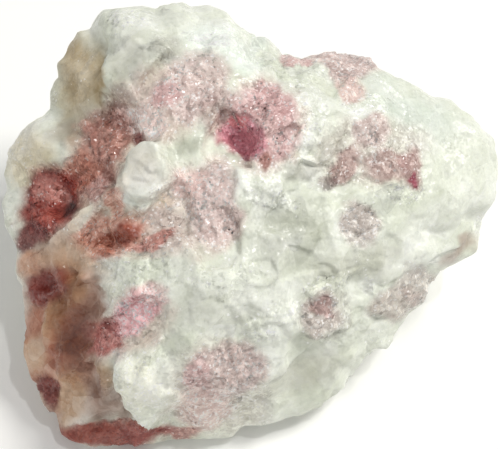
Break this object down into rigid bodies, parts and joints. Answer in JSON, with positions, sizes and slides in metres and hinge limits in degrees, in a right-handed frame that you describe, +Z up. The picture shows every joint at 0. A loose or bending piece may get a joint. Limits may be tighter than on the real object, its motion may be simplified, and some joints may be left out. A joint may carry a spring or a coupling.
{
  "type": "tourmaline in matrix",
  "caption": "Broken hand specimen of milky white quartz and feldspar with rough pink to dark red tourmaline crystals grown through it, lying on its flat underside.",
  "frame": {"origin": "on the resting plane, under the middle of the bounding box", "axes": "+X to the right of the show face, +Y away from the viewer, +Z up; the show face looks up and towards -Y, 60 degrees above the horizon"},
  "size_m": [0.082, 0.065, 0.0475],
  "materials": {
    "matrix": "sugary broken surface of milky quartz and feldspar, faintly translucent, with brownish stains",
    "tourmaline_pink": "granular glassy rubellite, pale pink to magenta",
    "tourmaline_dark": "granular glassy rubellite, dark red to maroon, stained brown"
  },
  "bodies": {
    "root": {"matrix": "matrix", "tourmaline_centre": "tourmaline_pink", "tourmaline_upper": "tourmaline_pink", "tourmaline_seam": "tourmaline_pink", "tourmaline_dark_left": "tourmaline_dark", "tourmaline_orange": "tourmaline_pink", "tourmaline_middle": "tourmaline_pink", "tourmaline_lower_left": "tourmaline_pink", "tourmaline_lower_middle": "tourmaline_pink", "tourmaline_lower_right": "tourmaline_pink", "tourmaline_violet": "tourmaline_pink", "tourmaline_right_outer": "tourmaline_pink", "tourmaline_right_streak": "tourmaline_pink", "tourmaline_right_upper": "tourmaline_pink", "tourmaline_top_right": "tourmaline_pink", "tourmaline_foot": "tourmaline_dark", "tourmaline_left_edge": "tourmaline_dark", "tourmaline_left_low": "tourmaline_dark", "tourmaline_right_edge": "tourmaline_pink"}
  },
  "joints": []
}
